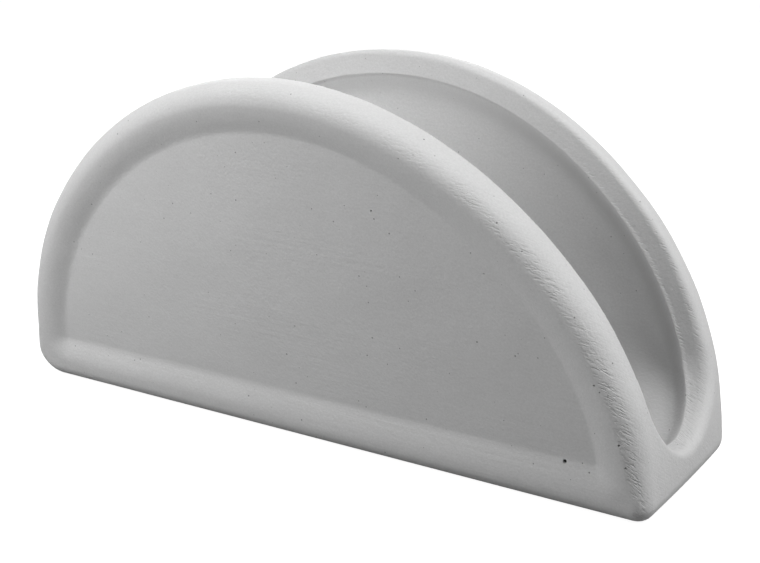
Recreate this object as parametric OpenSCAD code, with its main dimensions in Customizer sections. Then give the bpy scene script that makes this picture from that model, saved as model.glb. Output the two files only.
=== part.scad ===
// Half-moon napkin holder in fired clay.
// Two half-round walls lean away from each other and stand on either side of
// a trough floor. Each wall has a raised rim around a sunken field, outside
// and inside, and the trough opens at both ends in a rounded U-shaped mouth.
// X runs along the length, Y from the front wall to the back wall, Z up.
// The origin is the middle of the resting face. Lengths are millimetres.

/* [Arch outline] */
// Radius of the half-round outline, measured in the plane of a wall
arch_r = 83.2; // [70:0.1:110]
// How far the centre of the arch lies below the table
arch_drop = 2; // [0.5:0.1:3]
// Radius of the corners where the ends turn under to the resting face
corner_r = 6; // [4:0.5:8]

/* [Walls] */
// Outward lean of each wall in degrees
lean = 7; // [4:0.2:10]
// Thickness of a wall across its rim
rim_t = 8.2; // [8.2:0.1:11]
// Radius of the outer edge of the crest
crest_out_r = 4.6; // [3:0.1:4.7]
// Radius of the inner edge of the crest
crest_in_r = 2.6; // [2:0.1:3.4]
// Radius of the outer bottom edge of a wall
foot_r = 4.6; // [3:0.1:6]

/* [Outer field] */
// Width of the raised rim around the outer field
rim_w = 10.3; // [8:0.1:14]
// Depth of the outer field below the rim
field_d = 1.9; // [1:0.05:2.5]
// Height of the bottom line of the outer field, along the wall
field_v = 11.1; // [10.5:0.1:16]

/* [Inner field] */
// Distance from the outline to the inner ridge
ridge_w = 5.3; // [4.5:0.1:7]
// Depth of the inner field below the ridge
cove_d = 2; // [1:0.1:2.4]
// Radius of the cove that runs from the ridge down to the inner field
cove_r = 8; // [4:0.1:9]
// How far up the wall the inner field starts above the trough
cove_rise = 2.2; // [1:0.1:8]

/* [Trough] */
// Half of the gap between the walls, measured at the table
slot_half = 12.2; // [9:0.1:14]
// Thickness of the trough floor at its lowest line
floor_t = 9.4; // [7:0.1:12]
// Radius of the rounded lip around each mouth
lip_r = 2.6; // [2:0.1:4]

/* [Hidden] */
// Facets per full turn
$fn = 72;
// Reach of the cutting solids past the clay
over = 2 * rim_t;
// Angle below the walls at which the floor's upper edges stop
edge_a = 10;
// Centre of the arch, in the plane of a wall
arch_v = -arch_drop;
// Width in r of the cove, from the ridge to the inner field
cove_w = sqrt(2 * cove_d * cove_r - cove_d * cove_d);
// Radius of the trough floor, tangent to both walls
trough_r = (slot_half * cos(lean) + floor_t * sin(lean)) / (1 - sin(lean));
// Height of the trough's centre line
trough_z = floor_t + trough_r;
// Height at which the trough runs into the walls
trough_top_z = trough_z - trough_r * sin(lean);
// Height at which the floor's thin upper edges stop, just short of that
floor_top_z = trough_z - trough_r * sin(lean + edge_a);
// Height of the bottom line of the inner field, along the wall
cove_v = trough_top_z / cos(lean) + cove_rise;
// Centre of the outer crest round, from the outline and from the inner face
crest_c = [arch_r - crest_out_r, rim_t - crest_out_r];
// Foot of the slope that climbs from the outer field onto the rim
slope_p = [arch_r - rim_w, rim_t - field_d];
slope_l = norm(crest_c - slope_p);
slope_a = atan2(crest_c[1] - slope_p[1], crest_c[0] - slope_p[0]) + asin(crest_out_r / slope_l);
slope_t = sqrt(slope_l * slope_l - crest_out_r * crest_out_r);
// Point where that slope runs into the crest round
slope_q = slope_p + slope_t * [cos(slope_a), sin(slope_a)];
// Centre of the bottom edge round in the section across the length
foot_v = (foot_r + (rim_t - foot_r) * sin(lean)) / cos(lean);
foot_y = slot_half + foot_v * sin(lean) + (rim_t - foot_r) * cos(lean);
// Height and inset of the corner round's centre, seen from the front
corner_x = sqrt(pow(arch_r - corner_r, 2) - pow(corner_r + arch_drop, 2));
// Direction in which the corner round meets the arch
corner_a = atan2(corner_r + arch_drop, corner_x);
// Slope of the end faces beside the mouths
mouth_z = floor_t + trough_r / 2;
mouth_a = asin((mouth_z + arch_drop) / arch_r);
mouth_x = arch_r * cos(mouth_a);
// Angle along the arch at which the crest leaves the mouth
crest_a = asin((trough_top_z + arch_drop) / arch_r);

// Which sub-part to draw

// Sections that are turned or drawn out into solids

// Space above the outer field: r from the arch centre, w from the inner face
module outer_field_2d() {
    difference() {
        polygon([
            [0, slope_p[1]],
            slope_p,
            slope_q,
            crest_c,
            [crest_c[0], rim_t + over],
            [0, rim_t + over]
        ]);
        translate(crest_c)
            circle(r = crest_out_r);
    }
}

// Space sunk into the inner face, bounded by the cove
module inner_field_2d() {
    translate([0, -over])
        square([arch_r - ridge_w - cove_w, over + cove_d]);
    translate([arch_r - ridge_w - cove_w, cove_d - cove_r])
        circle(r = cove_r);
}

// Corner taken off the inner edge of the crest
module crest_in_2d() {
    difference() {
        translate([arch_r - crest_in_r, -over])
            square([crest_in_r + over, over + crest_in_r]);
        translate([arch_r - crest_in_r, crest_in_r])
            circle(r = crest_in_r);
    }
}

// Half of a full wall's section, with the outer edge of the crest rounded
module wall_2d() {
    square([crest_c[0], rim_t]);
    square([arch_r, crest_c[1]]);
    translate(crest_c)
        circle(r = crest_out_r);
}

// Draws a section out along the length, with v up the wall and w across it
module along_x() {
    rotate([90, 0, 90])
        linear_extrude(height = 2 * (arch_r + over), center = true)
            children();
}

// One wall, lying in its own plane: x along, v up the wall, w across it

module outer_field() {
    intersection() {
        translate([0, arch_v, 0])
            rotate_extrude()
                outer_field_2d();
        translate([0, field_v + arch_r - rim_w, 0])
            along_x()
                mirror([1, 0])
                    outer_field_2d();
    }
}

module inner_field() {
    intersection() {
        translate([0, arch_v, 0])
            rotate_extrude()
                inner_field_2d();
        translate([0, cove_v + arch_r - ridge_w, 0])
            along_x()
                mirror([1, 0])
                    inner_field_2d();
    }
}

module crest_in_cut() {
    translate([0, arch_v, 0])
        rotate([0, 0, crest_a])
            rotate_extrude(angle = 180 - 2 * crest_a)
                crest_in_2d();
}

module flat_wall() {
    difference() {
        translate([0, arch_v, 0])
            rotate_extrude()
                wall_2d();
        outer_field();
        inner_field();
        crest_in_cut();
    }
}

// Cutting shapes, standing in place

// Everything under the table
module under_table() {
    translate([-arch_r - over, -arch_r, -2 * arch_r])
        cube([2 * (arch_r + over), 2 * arch_r, 2 * arch_r]);
}

// What the rounded bottom edge of the front wall leaves out
module foot_cut() {
    rotate([90, 0, 90])
        linear_extrude(height = 2 * (arch_r + over), center = true)
            mirror([1, 0])
                difference() {
                    polygon([
                        [foot_y, foot_r],
                        [foot_y, -over],
                        [foot_y + over, -over],
                        [foot_y + over * cos(lean), foot_r - over * sin(lean)]
                    ]);
                    translate([foot_y, foot_r])
                        circle(r = foot_r);
                }
}

// What the rounded lower corner of one end leaves out
module corner_cut() {
    rotate([90, 0, 0])
        linear_extrude(height = 2 * arch_r, center = true)
            difference() {
                polygon([
                    [corner_x, corner_r],
                    [corner_x, -over],
                    [corner_x + over, -over],
                    [corner_x + over * cos(corner_a), corner_r + over * sin(corner_a)]
                ]);
                translate([corner_x, corner_r])
                    circle(r = corner_r);
            }
}

// Rounded lip around one mouth, tilted to lie on the end face
module mouth_cut() {
    translate([mouth_x, 0, mouth_z])
        rotate([0, 90 - mouth_a, 0])
            translate([-(trough_z - mouth_z) / cos(mouth_a), 0, 0])
                rotate_extrude()
                    difference() {
                        translate([trough_r - lip_r, -lip_r])
                            square([2 * lip_r, lip_r + over]);
                        translate([trough_r + lip_r, -lip_r])
                            circle(r = lip_r);
                    }
}

// Everything that is taken off both ends
module end_cuts() {
    mouth_cut();
    corner_cut();
    mirror([1, 0, 0]) {
        mouth_cut();
        corner_cut();
    }
}

// The sub-parts

module panel() {
    difference() {
        translate([0, -slot_half, 0])
            rotate([90 + lean, 0, 0])
                flat_wall();
        under_table();
        foot_cut();
        end_cuts();
    }
}

module front_panel() {
    color([0.8, 0.8, 0.79])
        panel();
}

module back_panel() {
    color([0.8, 0.8, 0.79])
        rotate([0, 0, 180])
            panel();
}

// Section of the floor between the walls
module floor_2d() {
    top_y = slot_half + floor_top_z * tan(lean);
    difference() {
        polygon([
            [-slot_half, 0],
            [slot_half, 0],
            [top_y, floor_top_z],
            [-top_y, floor_top_z]
        ]);
        translate([0, trough_z])
            circle(r = trough_r);
    }
}

module base() {
    color([0.78, 0.78, 0.77])
        difference() {
            intersection() {
                rotate([90, 0, 90])
                    linear_extrude(height = 2 * (arch_r + over), center = true)
                        floor_2d();
                translate([0, 0, arch_v])
                    rotate([90, 0, 0])
                        cylinder(r = arch_r, h = 2 * arch_r, center = true);
            }
            end_cuts();
        }
}

front_panel();
back_panel();
base();
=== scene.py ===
"""Half-moon napkin holder in fired, unglazed white clay.

The clay is one casting. Its surface is worked out as a distance field in
millimetres, taken over into a fine net of faces, and cut behind the inner
faces into the front wall, the back wall and the trough floor.
"""

import math

import bmesh
import bpy
import numpy as np
from mathutils import Matrix, Vector


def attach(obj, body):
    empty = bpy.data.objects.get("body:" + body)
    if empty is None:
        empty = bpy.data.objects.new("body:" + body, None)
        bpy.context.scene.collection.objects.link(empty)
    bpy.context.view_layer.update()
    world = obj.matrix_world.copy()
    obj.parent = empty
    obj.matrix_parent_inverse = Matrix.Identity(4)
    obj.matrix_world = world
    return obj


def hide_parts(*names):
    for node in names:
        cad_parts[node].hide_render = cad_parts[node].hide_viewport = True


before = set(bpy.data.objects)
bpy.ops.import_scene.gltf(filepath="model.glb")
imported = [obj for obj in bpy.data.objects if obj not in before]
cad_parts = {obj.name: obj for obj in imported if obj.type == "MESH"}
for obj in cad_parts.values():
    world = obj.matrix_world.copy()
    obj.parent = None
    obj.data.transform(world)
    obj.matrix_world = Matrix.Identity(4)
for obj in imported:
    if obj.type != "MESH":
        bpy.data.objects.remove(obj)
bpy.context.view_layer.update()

MM = 0.001

# Clay sizes, in millimetres. Angles are degrees along the arch, from the table to the top.

LEAN = math.radians(7.02)
SLOT_HALF = 12.34
RIM_THICK = 7.81
OUTLINE_ANGLES = [0, 15, 30, 45, 60, 75, 90]
OUTLINE_RADII = [82.7, 83.35, 82.45, 81.35, 81.0, 80.9, 80.85]
EDGE_ROUND = 4.6
FOOT_ROUND = 3.3
FOOT_FADE = [5, 13]
RIGHT_CORNERS = [3.8, 4.8]
LEFT_CORNERS = [8.0, 7.0]
CORNER_FADE = 26.0
RIM_ANGLES = [0, 15, 30, 45, 90]
RIM_WIDTHS = [10.9, 10.7, 10.45, 10.3, 10.26]
FIELD_DEPTH = 1.9
FIELD_BOTTOM = 11.05
FIELD_CORNER = 1.0
# Bead and crease of the outer field, for angles from a wall's right end to its left
BEAD_ANGLES = [0, 75, 105, 150, 180]
BEAD_WIDTHS = [6.6, 6.6, 6.6, 6.0, 5.2]
CREASE_SOFTS = [0.45, 0.45, 0.8, 0.9, 0.9]
# The ridge round the inner field, and the step that takes its place towards the top
RIDGE_ANGLES = [0, 5, 15, 30, 45]
RIDGE_WIDTHS = [3.4, 3.4, 5.9, 5.6, 5.4]
LIFT_ANGLES = [0, 15, 35, 60]
RIDGE_LIFTS = [0.05, 0.2, 0.2, 0.0]
RIDGE_SPREAD = 0.6
STEP_ANGLES = [45, 70]
STEP_DEPTHS = [0.0, 0.45]
STEP_REACH = 0.5
# The cove that sinks from the ridge to the inner field
COVE_ANGLES = [0, 45, 75]
COVE_DEPTHS = [2.9, 2.9, 2.1]
COVE_REACHES = [2.7, 2.7, 3.2]
COVE_POWER = 1.8
# The sunk field grows even where it runs on through the trough
TROUGH_DEPTH = 2.2
TROUGH_FADE = [12, 26]
# Rounds of the mouth's lip, and the bulge of the ends beside it
NEAR_LIP = 1.2
LIP_ANGLES = [10, 32]
FAR_LIPS = [3.2, 1.5]
LIP_FADE = 8.0
END_CROWN = 0.3
CROWN_HALF = 22.0
CROWN_FADE = [14, 34]
# The trough between the walls
FLOOR_HEIGHT = 9.5
TROUGH_ROUND = 14.0
# Reach over which the two walls' shapes join in mid trough, up the wall and across it
TROUGH_MIDDLES = [8.0, 3.0]
WAVER = 0.05
# How far the pieces are cut behind the walls' inner faces
SEAM_BEHIND = 0.25

# Net of faces: width of its grid, how far it reaches, and where it is made finer
NET_STEP = 0.7
NET_REACH = (84.8, 31.2, 82.0)
NET_BELOW = 1.5
FINE_BANDS = (1.0, 0.5)
HOLE_BANDS = (1.5, 1.0, 0.7)
HOLE_MARGIN = 0.6

# Pinholes in the skin: the pixel at which the camera sees it, and its radius and depth
PINHOLES = [
    ((564.7, 461.3), 0.4, 0.8),
    ((594, 386), 0.2, 0.3),
    ((599.6, 392.7), 0.16, 0.2),
    ((618.8, 446), 0.22, 0.3),
    ((625.7, 468.6), 0.2, 0.3),
    ((582.4, 463.3), 0.15, 0.2),
    ((589.3, 473), 0.17, 0.2),
    ((575, 412.5), 0.15, 0.2),
    ((669, 430), 0.16, 0.2),
    ((484, 274), 0.16, 0.2),
    ((371, 211), 0.2, 0.25),
    ((518, 354), 0.16, 0.2),
]
# Steps along a line of sight, each this share of the way that is sure to be free
SIGHT_STEPS = 200
SIGHT_SHARE = 0.8

# From this radius on, a pinhole gets its full painted shade
DARK_RADIUS = 0.3

# Tilt of the finishing strokes off the line of the rim, for angles from the right end to the left
STROKE_ANGLES = [0, 30, 57, 90, 180]
STROKE_TILTS = [52, 50, 27, 10, 10]
# How strongly the rim was scraped, for the same angles
SCRAPED = [0.9, 1.0, 0.5, 0.2, 0.15]
# Scrapes start, and mostly end, where the skin faces this far towards the outline
SCRAPE_START = [0.04, 0.22]
SCRAPE_END = [0.5, 0.8]
SCRAPE_LOSS = 0.9
# Sponged hairlines start where it faces this far
BRUSH_START = [0.3, 0.7]
# Both stop this far inside the outline
STROKE_FADE = [-9, -6]

# Painted shade: the skin's colour is darkened along the cove and down in the trough, where shade falls
PAINTED_SHADE_ANGLES = [2, 10, 50, 80]
PAINTED_SHADE = [0.3, 1.0, 1.0, 0.3]
PAINTED_SHADE_START = [0, 1.2]
PAINTED_SHADE_AT = 2.6
PAINTED_SHADE_SPREAD = 2.4
PAINTED_SHADE_TROUGH = [14, 30]
PAINTED_SHADE_INSETS = [1, 5]
# Scraped clay also gets painted shade, on the crest band that turns away from the lamps
SCRAPED_SHADE = 0.4

# View of the photograph: angles, distance and target in metres, lens and sensor in millimetres

AZIMUTH = math.radians(34.274)
ELEVATION = math.radians(17.229)
ROLL = math.radians(-1.318)
DISTANCE = 0.299211
TARGET = Vector((0.009157, 0.0, 0.032286))
LENS = 63.965
SENSOR = 36.0
PHOTO_WIDTH = 760
PHOTO_HEIGHT = 563


def direction_out(azimuth, elevation):
    """Direction from the middle outwards; azimuth 0 is straight in front."""
    level = math.cos(elevation)
    return Vector((math.sin(azimuth) * level, -math.cos(azimuth) * level, math.sin(elevation)))


def camera_axes():
    """Directions to the camera's right, to its top and back from its target."""
    away = direction_out(AZIMUTH, ELEVATION)
    right = Vector((math.cos(AZIMUTH), math.sin(AZIMUTH), 0.0))
    up = away.cross(right)
    rolled_right = right * math.cos(ROLL) + up * math.sin(ROLL)
    rolled_up = up * math.cos(ROLL) - right * math.sin(ROLL)
    return rolled_right, rolled_up, away


def sight_line(pixel):
    """Direction in which the camera sees a pixel of a picture as large as the photograph."""
    right, up, away = camera_axes()
    per_pixel = SENSOR / PHOTO_WIDTH / LENS
    aside = (pixel[0] - PHOTO_WIDTH / 2) * per_pixel
    above = (PHOTO_HEIGHT / 2 - pixel[1]) * per_pixel
    return (right * aside + up * above - away).normalized()


# The clay's surface


def outline_table():
    """Radius of the outline for each degree from the table to the top, with its corners eased."""
    past = 30
    degrees = np.arange(-past, 90 + past + 1)
    folded = np.where(degrees < 0, -degrees, np.where(degrees > 90, 180 - degrees, degrees))
    raw = np.interp(folded, OUTLINE_ANGLES, OUTLINE_RADII)
    ease = np.hanning(19)
    smooth = np.convolve(raw, ease / ease.sum(), mode="same")
    return np.radians(degrees[past : past + 91]), smooth[past : past + 91]


OUTLINE = outline_table()


def eased(value, low, high):
    """0 below low, 1 above high, eased between."""
    share = np.clip((value - low) / (high - low), 0, 1)
    return share * share * (3 - 2 * share)


def bridged(y, reach):
    """Distance from the middle plane, run smoothly across it within the given reach."""
    return np.where(np.abs(y) < reach, (y * y / reach + reach) / 2, np.abs(y))


def round_meet(a, b, radius):
    """Meeting of two half spaces with their common edge rounded."""
    inner = np.minimum(np.maximum(a, b), -radius)
    outer = np.hypot(np.maximum(a + radius, 0), np.maximum(b + radius, 0))
    return inner + outer


def wall_place(y, z):
    """Height along a wall and distance out from its inner face."""
    along = (bridged(y, TROUGH_MIDDLES[0]) - SLOT_HALF) * math.sin(LEAN) + z * math.cos(LEAN)
    across = (bridged(y, TROUGH_MIDDLES[1]) - SLOT_HALF) * math.cos(LEAN) - z * math.sin(LEAN)
    return along, across


def arch_place(x, along):
    """Angle along the arch from the table, and distance outside its outline."""
    angle = np.arctan2(np.maximum(along, 0), np.abs(x))
    outside = np.hypot(x, along) - np.interp(angle, *OUTLINE)
    return angle, outside


def field_inset(angle, along, outside):
    """Distance inside the edge of the outer field; below zero is on the rim."""
    rim = np.interp(np.degrees(angle), RIM_ANGLES, RIM_WIDTHS)
    return -round_meet(outside + rim, FIELD_BOTTOM - along, FIELD_CORNER)


def ridge_inset(angle, outside):
    """Distance inside the ridge on a wall's inner face."""
    return -outside - np.interp(np.degrees(angle), RIDGE_ANGLES, RIDGE_WIDTHS)


def waver(p):
    """Slight unevenness left by the hand finishing, always inward and none at the table."""
    x, y, z = p[..., 0], p[..., 1], p[..., 2]
    long_wave = np.sin(x / 7.3 + 1.7 * np.sin(z / 11.0)) * np.sin(z / 5.9 + y / 13.0)
    short_wave = np.sin(x / 2.9 + z / 4.3) * np.sin(z / 3.1 - x / 6.7 + y / 5.0)
    return WAVER * (1.5 + long_wave + 0.5 * short_wave) * np.clip(z / 8, 0, 1)


def clay(p):
    """Distance outside the clay at each point, in millimetres; below zero is inside."""
    x, y, z = p[..., 0], p[..., 1], p[..., 2]
    along, across = wall_place(y, z)
    angle, outside = arch_place(x, along)
    turn = np.degrees(angle)
    # Outer face: a bead that falls from the rim to the sunken field, with a soft crease at its foot
    field = field_inset(angle, along, outside)
    from_right = np.where(x * y < 0, turn, 180 - turn)
    soft = np.interp(from_right, BEAD_ANGLES, CREASE_SOFTS)
    climb = np.sqrt(field * field + soft * soft) * 0.5 - field * 0.5 - soft * 0.25
    climbed = np.clip(climb / np.interp(from_right, BEAD_ANGLES, BEAD_WIDTHS), 0, 1)
    face = across - RIM_THICK + FIELD_DEPTH * (1 - np.sin(climbed * math.pi / 2))
    # Inner face: a ridge or step round the edge and a cove that sinks to the inner field
    inset = ridge_inset(angle, outside)
    inward = np.maximum(inset, 0)
    ridge = np.interp(turn, LIFT_ANGLES, RIDGE_LIFTS) * np.exp(-((inset / RIDGE_SPREAD) ** 2))
    on_wall = eased(z, *TROUGH_FADE)
    drop = np.interp(turn, STEP_ANGLES, STEP_DEPTHS) * on_wall
    depth = TROUGH_DEPTH + (np.interp(turn, COVE_ANGLES, COVE_DEPTHS) - TROUGH_DEPTH) * on_wall
    step = drop * (1 - np.exp(-((inward / STEP_REACH) ** 2)))
    fall = 1 - np.exp(-((inward / np.interp(turn, COVE_ANGLES, COVE_REACHES)) ** COVE_POWER))
    cove = (depth - drop) * fall
    sunk = step + cove - ridge
    slot = sunk - round_meet(across, FLOOR_HEIGHT - z, TROUGH_ROUND)
    # The ends bulge a little between the walls
    crown = END_CROWN * np.minimum((y / CROWN_HALF) ** 2, 2) * (1 - np.interp(turn, CROWN_FADE, [0, 1]))
    right_corner = np.interp(y, [-CORNER_FADE, CORNER_FADE], RIGHT_CORNERS)
    left_corner = np.interp(y, [-CORNER_FADE, CORNER_FADE], LEFT_CORNERS)
    profile = round_meet(outside + crown, -z, np.where(x > 0, right_corner, left_corner))
    body = round_meet(face, profile, np.interp(z, FOOT_FADE, [FOOT_ROUND, EDGE_ROUND]))
    # The lip is thin along one wall and wide along the other, turned round at the other end
    far = np.clip(y * np.sign(x) / LIP_FADE, -1, 1) * 0.5 + 0.5
    lip = NEAR_LIP + (np.interp(turn, LIP_ANGLES, FAR_LIPS) - NEAR_LIP) * far
    return round_meet(body, slot, lip) + waver(p)


def slope(p):
    """Direction in which the distance grows, at each point."""
    reach = 0.04
    sides = []
    for axis in range(3):
        step = np.zeros(3)
        step[axis] = reach
        sides.append((clay(p + step) - clay(p - step)) / (2 * reach))
    return np.stack(sides, axis=-1)


def settle(p, rounds):
    """Moves points straight onto the clay's surface."""
    for _ in range(rounds):
        lift = slope(p)
        p = p - lift * (clay(p) / np.maximum((lift ** 2).sum(-1), 0.05))[:, None]
    return p


# Net of faces


def clay_net(low, high, step):
    """Points and four-sided faces of the clay's surface, taken from a grid of its distances."""
    ticks = [np.arange(a, b + step, step) for a, b in zip(low, high)]
    grid = np.stack(np.meshgrid(*ticks, indexing="ij"), axis=-1)
    depth = clay(grid)
    shape = tuple(n - 1 for n in depth.shape)
    total = np.zeros(shape + (3,))
    count = np.zeros(shape)
    crossings = []
    for axis in range(3):
        first = np.take(depth, range(depth.shape[axis] - 1), axis)
        last = np.take(depth, range(1, depth.shape[axis]), axis)
        crossed = (first < 0) != (last < 0)
        share = np.where(crossed, first / np.where(crossed, first - last, 1), 0)
        crossings.append((crossed, first < 0))
        others = [a for a in range(3) if a != axis]
        for near in (0, 1):
            for far in (0, 1):
                part = [slice(None)] * 3
                part[others[0]] = slice(near, near + shape[others[0]])
                part[others[1]] = slice(far, far + shape[others[1]])
                hit = crossed[tuple(part)]
                total[..., axis] += share[tuple(part)]
                total[..., others[0]] += near * hit
                total[..., others[1]] += far * hit
                count += hit
    used = count > 0
    number = np.full(shape, -1)
    number[used] = np.arange(used.sum())
    cells = np.argwhere(used)
    points = np.array(low) + (cells + total[used] / count[used][:, None]) * step
    faces = []
    for axis in range(3):
        crossed, rising = crossings[axis]
        one, two = (axis + 1) % 3, (axis + 2) % 3
        at = np.argwhere(crossed)
        within = (at[:, one] > 0) & (at[:, one] < shape[one])
        at = at[within & (at[:, two] > 0) & (at[:, two] < shape[two])]
        ring = []
        for back_one, back_two in ((1, 1), (0, 1), (0, 0), (1, 0)):
            cell = at.copy()
            cell[:, one] -= back_one
            cell[:, two] -= back_two
            ring.append(number[cell[:, 0], cell[:, 1], cell[:, 2]])
        quads = np.stack(ring, axis=1)
        up = rising[at[:, 0], at[:, 1], at[:, 2]]
        quads[~up] = quads[~up][:, ::-1]
        faces.append(quads)
    return points, np.concatenate(faces)


def even_out(points, faces, rounds):
    """Evens the spacing of the net's points along the surface."""
    ends = np.concatenate([faces[:, [i, (i + 1) % 4]] for i in range(4)])
    ends = np.concatenate([ends, ends[:, ::-1]])
    shared = np.bincount(ends[:, 0], minlength=len(points))
    for _ in range(rounds):
        middle = np.stack(
            [np.bincount(ends[:, 0], points[ends[:, 1], k], len(points)) for k in range(3)], axis=-1
        )
        points = points + 0.5 * (middle / shared[:, None] - points)
        points = settle(points, 2)
    return points


def turning(p):
    """Distance of each point from the nearest line where the surface turns sharply."""
    along, across = wall_place(p[:, 1], p[:, 2])
    angle, outside = arch_place(p[:, 0], along)
    ridge = np.where(across < RIM_THICK / 2, np.abs(ridge_inset(angle, outside)), RIM_THICK)
    crease = np.where(across > RIM_THICK / 2, np.abs(field_inset(angle, along, outside)), RIM_THICK)
    return np.minimum(ridge, crease)


def refine(points, faces, bands):
    """Splits the faces that lie within each band of a sharp turn, and settles the new points."""
    work = bmesh.new()
    mesh = bpy.data.meshes.new("refining")
    mesh.from_pydata(points.tolist(), [], faces.tolist())
    work.from_mesh(mesh)
    bpy.data.meshes.remove(mesh)
    for reach in bands:
        work.verts.index_update()
        near = turning(np.array([v.co[:] for v in work.verts])) < reach
        edges = {e for f in work.faces if any(near[v.index] for v in f.verts) for e in f.edges}
        bmesh.ops.subdivide_edges(work, edges=list(edges), cuts=1, use_grid_fill=True)
        work.verts.index_update()
        settled = settle(np.array([v.co[:] for v in work.verts]), 2)
        for v in work.verts:
            v.co = settled[v.index]
    return work


def pinholes_on_skin():
    """Each pinhole's place on the clay, its direction, radius and depth."""
    sight = np.array([sight_line(pixel)[:] for pixel, _, _ in PINHOLES])
    start = TARGET + camera_axes()[2] * DISTANCE
    places = np.array([start[:]] * len(sight)) / MM
    for _ in range(SIGHT_STEPS):
        places = places + SIGHT_SHARE * clay(places)[:, None] * sight
    facings = slope(places)
    facings /= np.linalg.norm(facings, axis=1, keepdims=True)
    return [(a, b, hole[1], hole[2]) for a, b, hole in zip(places, facings, PINHOLES)]


def beside_axis(points, place, facing):
    """Distance of each point from the line through a pinhole, and its height along that line."""
    away = points - place
    height = away @ facing
    return np.linalg.norm(away - height[:, None] * facing, axis=1), height


def sink_pinholes(work, holes):
    """Makes the net finer round each pinhole and presses the hole into it."""
    for reach in HOLE_BANDS:
        work.verts.ensure_lookup_table()
        points = np.array([v.co[:] for v in work.verts])
        near = np.zeros(len(points), bool)
        for place, _, radius, _ in holes:
            near |= np.linalg.norm(points - place, axis=1) < reach * (HOLE_MARGIN + radius)
        edges = {e for i in np.flatnonzero(near) for f in work.verts[i].link_faces for e in f.edges}
        bmesh.ops.subdivide_edges(work, edges=list(edges), cuts=1, use_grid_fill=True)
        work.verts.index_update()
        settled = settle(np.array([v.co[:] for v in work.verts]), 2)
        for v in work.verts:
            v.co = settled[v.index]
    points = np.array([v.co[:] for v in work.verts])
    for place, facing, radius, depth in holes:
        aside, height = beside_axis(points, place, facing)
        hollow = depth * np.sqrt(np.clip(1 - (aside / radius) ** 2, 0, 1)) * (np.abs(height) < radius)
        points -= hollow[:, None] * facing
    for v in work.verts:
        v.co = points[v.index]


def pinhole_share(points, holes):
    """Share of painted shade: 1 inside a pinhole, falling to 0 at its edge."""
    share = np.zeros(len(points))
    for place, facing, radius, depth in holes:
        aside, height = beside_axis(points, place, facing)
        inside = np.clip((1.1 - aside / radius) / 0.3, 0, 1) * (np.abs(height) < depth + radius)
        share = np.maximum(share, inside * min(1, radius / DARK_RADIUS))
    return share


# Pieces


def stroke_across(turned, over_rim):
    """Place across the finishing strokes; along one stroke it stays the same."""
    angles = np.arange(0, 181)
    tilts = np.radians(np.interp(angles, STROKE_ANGLES, STROKE_TILTS))
    drift = np.cumsum(np.tan(tilts)) * math.radians(1) * OUTLINE_RADII[-1]
    return over_rim + np.interp(np.degrees(turned), angles, drift)


def net_normals(mesh, count):
    """Normal at each point, from the faces round it."""
    normals = np.zeros(count * 3, np.float32)
    mesh.vertex_normals.foreach_get("vector", normals)
    return normals.reshape(-1, 3)


def add_layer(mesh, name, kind, values):
    """Stores one value per point for the materials to read."""
    layer = mesh.attributes.new(name, kind, "POINT")
    layer.data.foreach_set("vector" if kind == "FLOAT_VECTOR" else "value", values.ravel())


def cut_piece(whole, cuts):
    """Copy of the net cut by planes and closed over the cuts: points, faces, and which faces are cuts."""
    work = whole.copy()
    capped = []
    for at, facing in cuts:
        parts = work.verts[:] + work.edges[:] + work.faces[:]
        bmesh.ops.bisect_plane(
            work, geom=parts, dist=0.002, plane_co=at, plane_no=facing, clear_inner=True
        )
        rim = [e for e in work.edges if e.is_boundary]
        lids = bmesh.ops.holes_fill(work, edges=rim, sides=0)["faces"]
        cut = bmesh.ops.triangulate(work, faces=lids, ngon_method="EAR_CLIP")["faces"]
        capped += [(f, Vector(facing)) for f in cut]
    work.verts.index_update()
    normals = {f: -facing for f, facing in capped}
    points = np.array([v.co[:] for v in work.verts])
    faces = [[v.index for v in f.verts] for f in work.faces]
    lids = [normals.get(f) for f in work.faces]
    work.free()
    return points, faces, lids


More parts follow.
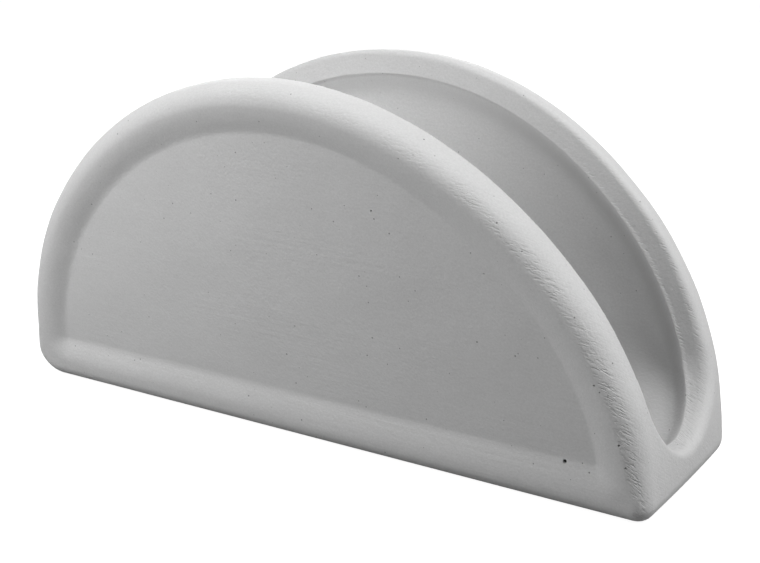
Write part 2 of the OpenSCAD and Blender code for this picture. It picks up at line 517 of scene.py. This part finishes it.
def make_piece(name, points, faces, lids, material):
    """Mesh object of one piece, with the clay's own direction at every corner of its skin."""
    mesh = bpy.data.meshes.new(name)
    mesh.from_pydata((points * MM).tolist(), [], faces)
    mesh.materials.append(material)
    lift = slope(points)
    lift /= np.linalg.norm(lift, axis=1, keepdims=True)
    along, across = wall_place(points[:, 1], points[:, 2])
    angle, outside = arch_place(points[:, 0], along)
    turned = np.where(points[:, 0] < 0, math.pi - angle, angle)
    # Distance over the rim, from one wall's outer face to its inner face
    faced = np.where((across > RIM_THICK / 2) == (points[:, 1] < 0), 1, -1)
    over_rim = points[:, 1] + faced * outside
    strokes = [turned * OUTLINE_RADII[-1], stroke_across(turned, over_rim), over_rim]
    outward = np.stack([np.cos(turned), np.zeros(len(points)), np.sin(turned)], axis=-1)
    edgewise = (lift * outward).sum(-1)
    scraped = eased(edgewise, *SCRAPE_START) * (1 - SCRAPE_LOSS * eased(edgewise, *SCRAPE_END))
    near_edge = eased(outside, *STROKE_FADE)
    scraped *= np.interp(np.degrees(turned), STROKE_ANGLES, SCRAPED) * near_edge
    inset = ridge_inset(angle, outside)
    # Painted shade along the cove inside the ridge
    painted_shade = np.exp(-(((inset - PAINTED_SHADE_AT) / PAINTED_SHADE_SPREAD) ** 2))
    painted_shade *= eased(inset, *PAINTED_SHADE_START)
    painted_shade *= np.interp(np.degrees(angle), PAINTED_SHADE_ANGLES, PAINTED_SHADE)
    # Painted shade down in the trough
    trough_shade = eased(inset, *PAINTED_SHADE_INSETS) * (1 - eased(points[:, 2], *PAINTED_SHADE_TROUGH))
    painted_shade = np.maximum(painted_shade, trough_shade) * (across < RIM_THICK / 2)
    holed = pinhole_share(points, holes)
    add_layer(mesh, "stroke_place", "FLOAT_VECTOR", np.stack(strokes, axis=-1) * MM)
    add_layer(mesh, "scraped_share", "FLOAT", scraped)
    # Share of painted shade: cove and trough, and part of the scraped crest
    add_layer(mesh, "painted_shade_share", "FLOAT", np.maximum(painted_shade, scraped * SCRAPED_SHADE))
    add_layer(mesh, "brushed_share", "FLOAT", eased(edgewise, *BRUSH_START) * near_edge)
    add_layer(mesh, "pinhole", "FLOAT", holed)
    lift = np.where(holed[:, None] > 0, net_normals(mesh, len(points)), lift)
    corners = []
    for face, lid in zip(faces, lids):
        corners += [lid[:] if lid is not None else lift[i] for i in face]
    mesh.shade_smooth()
    mesh.normals_split_custom_set(corners)
    mesh.update()
    piece = bpy.data.objects.new(name, mesh)
    bpy.context.collection.objects.link(piece)
    return piece


# Fired clay finish

WHITE_CLAY = (0.74, 0.74, 0.74)
# Share of the tone that is left in the clay's dull patches, and under the painted shade
MOTTLE_SHARE = 0.9
PAINTED_SHADE_SHARE = 0.76
# Painted shade: the near black colour inside the pinholes, and how far the tiny pricks darken
PINHOLE_SHADE = 0.03
PRICK_SHADE = 0.6
# Heights of the grain in millimetres
TOOTH_HEIGHT = 0.07
LUMP_HEIGHT = 0.1
LINE_HEIGHT = 0.07


def new_group(name, inputs, outputs):
    """Shader node group with named inputs and outputs, and its two end nodes."""
    group = bpy.data.node_groups.new(name, "ShaderNodeTree")
    for label, kind, value in inputs:
        socket = group.interface.new_socket(label, in_out="INPUT", socket_type=kind)
        if value is not None:
            socket.default_value = value
    for label, kind in outputs:
        group.interface.new_socket(label, in_out="OUTPUT", socket_type=kind)
    return group, group.nodes.new("NodeGroupInput"), group.nodes.new("NodeGroupOutput")


def add(tree, kind, **settings):
    """New node with its settings made."""
    node = tree.nodes.new(kind)
    for key, value in settings.items():
        setattr(node, key, value)
    return node


def calc(tree, operation, *values):
    """Maths node; each value is a number or a socket."""
    node = add(tree, "ShaderNodeMath", operation=operation)
    for socket, value in zip(node.inputs, values):
        if isinstance(value, (int, float)):
            socket.default_value = value
        else:
            tree.links.new(value, socket)
    return node.outputs[0]


def band(tree, value, low, high):
    """0 below low, 1 above high, eased between."""
    node = add(tree, "ShaderNodeMapRange", interpolation_type="SMOOTHSTEP")
    node.inputs["From Min"].default_value = low
    node.inputs["From Max"].default_value = high
    tree.links.new(value, node.inputs["Value"])
    return node.outputs["Result"]


def stretched_noise(tree, place, scale, turn, detail):
    """Noise on coordinates that are turned and stretched first."""
    mapping = add(tree, "ShaderNodeMapping")
    mapping.inputs["Rotation"].default_value = turn
    mapping.inputs["Scale"].default_value = scale
    tree.links.new(place, mapping.inputs["Vector"])
    noise = add(tree, "ShaderNodeTexNoise")
    noise.inputs["Scale"].default_value = 1.0
    noise.inputs["Detail"].default_value = detail
    tree.links.new(mapping.outputs["Vector"], noise.inputs["Vector"])
    return noise.outputs["Fac"]


def clay_grain():
    """Tooth of the fired clay, brushed lines along the length, and a mottled tone. Height in mm."""
    group, given, made = new_group(
        "clay_grain",
        [("Place", "NodeSocketVector", None), ("Brushing", "NodeSocketFloat", 0.3)],
        [("Height", "NodeSocketFloat"), ("Cloud", "NodeSocketFloat"), ("Mottle", "NodeSocketFloat")],
    )
    place = given.outputs["Place"]
    tooth = stretched_noise(group, place, (1700, 1700, 1700), (0, 0, 0), 2.0)
    lumps = stretched_noise(group, place, (330, 330, 330), (0, 0, 0), 2.0)
    brushed = stretched_noise(group, place, (60, 700, 1150), (0, 0.06, 0), 2.0)
    swept = stretched_noise(group, place, (26, 60, 75), (0, 0, 0), 1.0)
    cloud = stretched_noise(group, place, (38, 38, 38), (0, 0, 0), 3.0)
    mottle = stretched_noise(group, place, (2300, 2300, 2300), (0, 0, 0), 1.0)
    fine = calc(group, "MULTIPLY", tooth, TOOTH_HEIGHT)
    rough = calc(group, "MULTIPLY_ADD", lumps, LUMP_HEIGHT, fine)
    passes = calc(group, "MULTIPLY", band(group, swept, 0.45, 0.65), LINE_HEIGHT)
    lines = calc(group, "MULTIPLY", brushed, passes)
    height = calc(group, "MULTIPLY_ADD", lines, given.outputs["Brushing"], rough)
    mixed = calc(group, "MULTIPLY_ADD", mottle, 0.6, calc(group, "MULTIPLY", cloud, 0.4))
    group.links.new(height, made.inputs["Height"])
    group.links.new(cloud, made.inputs["Cloud"])
    group.links.new(mixed, made.inputs["Mottle"])
    return group


def finishing_strokes():
    """Scrapes on the rim where the casting seam was trimmed, and sponged hairlines. Height in mm."""
    group, given, made = new_group(
        "finishing_strokes",
        [
            ("Stroke Place", "NodeSocketVector", None),
            ("Scraped Share", "NodeSocketFloat", 0.0),
            ("Brushed Share", "NodeSocketFloat", 0.0),
            ("Depth", "NodeSocketFloat", 0.06),
        ],
        [("Height", "NodeSocketFloat")],
    )
    place = given.outputs["Stroke Place"]
    scrapes = stretched_noise(group, place, (900, 1500, 60), (0, 0, 0), 2.0)
    hairs = stretched_noise(group, place, (260, 2400, 60), (0, 0, 0), 1.0)
    patches = stretched_noise(group, place, (130, 60, 60), (0, 0, 0), 1.0)
    cut = calc(group, "MULTIPLY", band(group, scrapes, 0.46, 0.72), band(group, patches, 0.2, 0.5))
    deep = calc(group, "MULTIPLY", cut, given.outputs["Scraped Share"])
    fine = calc(group, "MULTIPLY", calc(group, "MULTIPLY", hairs, 0.3), given.outputs["Brushed Share"])
    both = calc(group, "MULTIPLY", calc(group, "ADD", deep, fine), given.outputs["Depth"])
    group.links.new(calc(group, "MULTIPLY", both, -1.0), made.inputs["Height"])
    return group


def skin_pricks():
    """Tiny dark pricks strewn over the skin: painted shade of air bubble pits too small to model."""
    group, given, made = new_group(
        "skin_pricks",
        [("Place", "NodeSocketVector", None), ("Size", "NodeSocketFloat", 0.04)],
        [("Mark", "NodeSocketFloat")],
    )
    spots = add(group, "ShaderNodeTexVoronoi", feature="F1")
    spots.inputs["Scale"].default_value = 600.0
    group.links.new(given.outputs["Place"], spots.inputs["Vector"])
    parts = add(group, "ShaderNodeSeparateColor")
    group.links.new(spots.outputs["Color"], parts.inputs["Color"])
    size = calc(group, "MULTIPLY", given.outputs["Size"], calc(group, "POWER", parts.outputs["Red"], 3.0))
    share = calc(group, "DIVIDE", spots.outputs["Distance"], calc(group, "ADD", size, 0.001))
    group.links.new(calc(group, "SUBTRACT", 1.0, band(group, share, 0.6, 1.1)), made.inputs["Mark"])
    return group


def fired_clay(name, tint, brushing, stroke_depth, prick_size):
    """Matt white bisque: grain, strokes on the rim, a slightly cloudy tone, and painted shade in the
    cove, trough, scraped crest, pinholes and pricks.
    """
    material = bpy.data.materials.new(name)
    material.use_nodes = True
    tree = material.node_tree
    shader = tree.nodes["Principled BSDF"]
    shader.inputs["IOR"].default_value = 1.45
    shader.inputs["Specular IOR Level"].default_value = 0.25
    where = add(tree, "ShaderNodeTexCoord")
    strokes = add(tree, "ShaderNodeAttribute", attribute_name="stroke_place")
    scraped_share = add(tree, "ShaderNodeAttribute", attribute_name="scraped_share")
    brushed_share = add(tree, "ShaderNodeAttribute", attribute_name="brushed_share")
    painted_shade_share = add(tree, "ShaderNodeAttribute", attribute_name="painted_shade_share")
    hole = add(tree, "ShaderNodeAttribute", attribute_name="pinhole")
    surface = add(tree, "ShaderNodeGroup", node_tree=grain)
    surface.inputs["Brushing"].default_value = brushing
    tree.links.new(where.outputs["Object"], surface.inputs["Place"])
    scraped = add(tree, "ShaderNodeGroup", node_tree=scrapes)
    scraped.inputs["Depth"].default_value = stroke_depth
    tree.links.new(strokes.outputs["Vector"], scraped.inputs["Stroke Place"])
    tree.links.new(scraped_share.outputs["Fac"], scraped.inputs["Scraped Share"])
    tree.links.new(brushed_share.outputs["Fac"], scraped.inputs["Brushed Share"])
    pricked = add(tree, "ShaderNodeGroup", node_tree=pricks)
    pricked.inputs["Size"].default_value = prick_size
    tree.links.new(where.outputs["Object"], pricked.inputs["Place"])
    tones = add(tree, "ShaderNodeValToRGB")
    tones.color_ramp.elements[0].position = 0.3
    tones.color_ramp.elements[0].color = tuple(c * MOTTLE_SHARE for c in tint) + (1,)
    tones.color_ramp.elements[1].position = 0.7
    tones.color_ramp.elements[1].color = tint + (1,)
    tree.links.new(surface.outputs["Mottle"], tones.inputs["Fac"])
    # Painted shade: darkens the tone in the cove, the trough and on the scraped crest
    shade_mix = add(tree, "ShaderNodeMix", data_type="RGBA", blend_type="MIX")
    shade_mix.inputs["B"].default_value = tuple(c * PAINTED_SHADE_SHARE for c in tint) + (1,)
    tree.links.new(tones.outputs["Color"], shade_mix.inputs["A"])
    tree.links.new(painted_shade_share.outputs["Fac"], shade_mix.inputs["Factor"])
    # Painted shade: pinholes and tiny pricks are made near black
    opened = add(tree, "ShaderNodeMix", data_type="RGBA", blend_type="MIX")
    opened.inputs["B"].default_value = (PINHOLE_SHADE, PINHOLE_SHADE, PINHOLE_SHADE, 1)
    tree.links.new(shade_mix.outputs["Result"], opened.inputs["A"])
    prick = calc(tree, "MULTIPLY", pricked.outputs["Mark"], PRICK_SHADE)
    dark = calc(tree, "MAXIMUM", hole.outputs["Fac"], prick)
    tree.links.new(dark, opened.inputs["Factor"])
    tree.links.new(opened.outputs["Result"], shader.inputs["Base Color"])
    dull = calc(tree, "MULTIPLY_ADD", surface.outputs["Cloud"], 0.12, 0.8)
    tree.links.new(dull, shader.inputs["Roughness"])
    height = calc(tree, "ADD", surface.outputs["Height"], scraped.outputs["Height"])
    bump = add(tree, "ShaderNodeBump")
    bump.inputs["Strength"].default_value = 1.0
    bump.inputs["Distance"].default_value = MM
    tree.links.new(height, bump.inputs["Height"])
    tree.links.new(bump.outputs["Normal"], shader.inputs["Normal"])
    return material


# Make the pieces

grain = clay_grain()
scrapes = finishing_strokes()
pricks = skin_pricks()
finishes = {
    "front": fired_clay("bisque_front", WHITE_CLAY, 1.0, 0.1, 0.13),
    "back": fired_clay("bisque_back", WHITE_CLAY, 0.5, 0.08, 0.11),
    "base": fired_clay("bisque_base", WHITE_CLAY, 0.3, 0.08, 0.11),
}

net_points, net_faces = clay_net((-NET_REACH[0], -NET_REACH[1], -NET_BELOW), NET_REACH, NET_STEP)
net_points = settle(net_points, 4)
net_points = even_out(net_points, net_faces, 3)
whole = refine(net_points, net_faces, FINE_BANDS)
holes = pinholes_on_skin()
sink_pinholes(whole, holes)

# Each seam's place, the direction out of the slot, and the direction into it
seam_y = SLOT_HALF - SEAM_BEHIND / math.cos(LEAN)
front_seam = (0.0, -seam_y, 0.0)
front_out = (0.0, -math.cos(LEAN), -math.sin(LEAN))
front_in = (0.0, math.cos(LEAN), math.sin(LEAN))
back_seam = (0.0, seam_y, 0.0)
back_out = (0.0, math.cos(LEAN), -math.sin(LEAN))
back_in = (0.0, -math.cos(LEAN), math.sin(LEAN))

# Piece, the CAD node that it dresses, its finish, and the planes that cut it
PIECES = [
    ("front_wall", "front_panel", "front", [(front_seam, front_out)]),
    ("back_wall", "back_panel", "back", [(back_seam, back_out)]),
    ("trough_floor", "base", "base", [(front_seam, front_in), (back_seam, back_in)]),
]
for name, node, finish, cuts in PIECES:
    points, faces, lids = cut_piece(whole, cuts)
    piece = make_piece(name, points, faces, lids, finishes[finish])
    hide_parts(node)
    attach(piece, "root")
whole.free()

# Camera


def add_camera():
    """Camera that sees the clay as the photograph does."""
    right, up, away = camera_axes()
    camera = bpy.data.objects.new("camera", bpy.data.cameras.new("camera"))
    camera.data.sensor_width = SENSOR
    camera.data.lens = LENS
    camera.data.clip_start = 0.01
    turn = Matrix((right, up, away)).transposed()
    camera.matrix_world = Matrix.Translation(TARGET + away * DISTANCE) @ turn.to_4x4()
    bpy.context.collection.objects.link(camera)
    bpy.context.scene.camera = camera


add_camera()

# Floor, world and lamps

FLOOR_REACH = 3.0
FLOOR_TONE = 0.2
FLOOR_GLOW = 0.94
WORLD_LEVEL = 0.01
LAMP_AIM = Vector((0.0, 0.0, 0.04))
# Name, azimuth and elevation in degrees, distance and width in metres, level
LAMPS = [
    ("key", 90, 45, 0.5, 0.2, 0.46),
    ("key_low", 90, 32, 0.5, 0.2, 0.12),
    ("key_wide", 90, 60, 0.5, 0.4, 0.12),
    ("near_left", -35, 30, 0.22, 0.15, 0.4),
    ("front_left", -35, 30, 0.5, 0.3, 0.12),
    ("over_front", 0, 60, 0.5, 0.4, 0.12),
    ("back_left", -150, 20, 0.5, 0.3, 0.85),
]


def shown_white(tree, strength):
    """1 where the camera, or a reflection, sees the surface itself."""
    path = add(tree, "ShaderNodeLightPath")
    seen = calc(tree, "MAXIMUM", path.outputs["Is Camera Ray"], path.outputs["Is Glossy Ray"])
    seen = calc(tree, "MAXIMUM", seen, path.outputs["Is Transmission Ray"])
    return calc(tree, "MULTIPLY", seen, strength)


def add_floor():
    """Pale floor that keeps the object's shadow and is shown white."""
    mesh = bpy.data.meshes.new("floor")
    far = FLOOR_REACH
    corners = [(-far, -far, 0), (far, -far, 0), (far, far, 0), (-far, far, 0)]
    mesh.from_pydata(corners, [], [(0, 1, 2, 3)])
    floor = bpy.data.objects.new("floor", mesh)
    bpy.context.collection.objects.link(floor)
    material = bpy.data.materials.new("pale_floor")
    material.use_nodes = True
    tree = material.node_tree
    shader = tree.nodes["Principled BSDF"]
    shader.inputs["Base Color"].default_value = (FLOOR_TONE, FLOOR_TONE, FLOOR_TONE, 1)
    shader.inputs["Roughness"].default_value = 0.9
    shader.inputs["Emission Color"].default_value = (1, 1, 1, 1)
    tree.links.new(shown_white(tree, FLOOR_GLOW), shader.inputs["Emission Strength"])
    mesh.materials.append(material)


def add_world(level):
    """White backdrop that lights the object at its own low level."""
    world = bpy.data.worlds.new("studio")
    bpy.context.scene.world = world
    world.use_nodes = True
    tree = world.node_tree
    background = tree.nodes["Background"]
    background.inputs["Color"].default_value = (1, 1, 1, 1)
    seen = shown_white(tree, 1.0 - level)
    tree.links.new(calc(tree, "ADD", seen, level), background.inputs["Strength"])


def add_lamp(name, azimuth, elevation, distance, size, level):
    """Round soft lamp; its level is how bright it makes a white surface that faces it."""
    away = direction_out(azimuth, elevation)
    lamp = bpy.data.lights.new(name, "AREA")
    lamp.shape = "DISK"
    lamp.size = size
    lamp.energy = level * math.pi ** 2 * (distance ** 2 + size ** 2 / 4)
    holder = bpy.data.objects.new(name, lamp)
    holder.visible_camera = False
    holder.location = LAMP_AIM + away * distance
    holder.rotation_mode = "QUATERNION"
    holder.rotation_quaternion = away.to_track_quat("Z", "Y")
    bpy.context.collection.objects.link(holder)


add_floor()
add_world(WORLD_LEVEL)
for lamp_name, azimuth, elevation, distance, size, level in LAMPS:
    add_lamp(lamp_name, math.radians(azimuth), math.radians(elevation), distance, size, level)

bpy.context.scene.view_settings.view_transform = "Standard"
